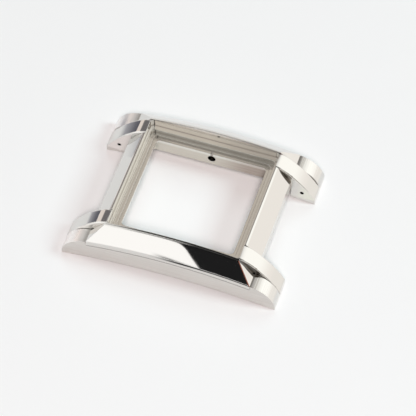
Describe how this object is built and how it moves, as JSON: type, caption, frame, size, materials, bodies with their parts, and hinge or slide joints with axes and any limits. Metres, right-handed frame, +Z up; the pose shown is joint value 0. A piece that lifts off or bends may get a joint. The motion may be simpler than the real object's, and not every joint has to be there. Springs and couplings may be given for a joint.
{
  "type": "empty watch case",
  "caption": "Empty rectangular steel watch case with an arched top, stepped inner seats, layered lugs and polished bevel bars; takes a movement, crystal, back and strap.",
  "frame": {"origin": "middle of the case at the level of the lug tips", "axes": "+X from the 12 o'clock lugs to the 6 o'clock lugs, +Y towards the crown side, +Z up through the dial opening"},
  "size_m": [0.0488, 0.037, 0.0112],
  "materials": {
    "frame_steel": "fine-turned inside, polished outer facets",
    "arm_steel": "polished",
    "flank_steel": "satin side wall, polished caps",
    "mirror_steel": "mirror polished",
    "pin_steel": "turned"
  },
  "bodies": {
    "root": {"centre_frame": "frame_steel", "lug_arm_12_crown_side": "arm_steel", "lug_arm_12_plain_side": "arm_steel", "lug_arm_6_crown_side": "arm_steel", "lug_arm_6_plain_side": "arm_steel", "flank_crown_side": "flank_steel", "flank_plain_side": "flank_steel", "bevel_bar_crown_side": "mirror_steel", "bevel_bar_plain_side": "mirror_steel", "lug_pins": "pin_steel", "flank_pins": "pin_steel", "bevel_screws": "pin_steel"}
  },
  "joints": []
}
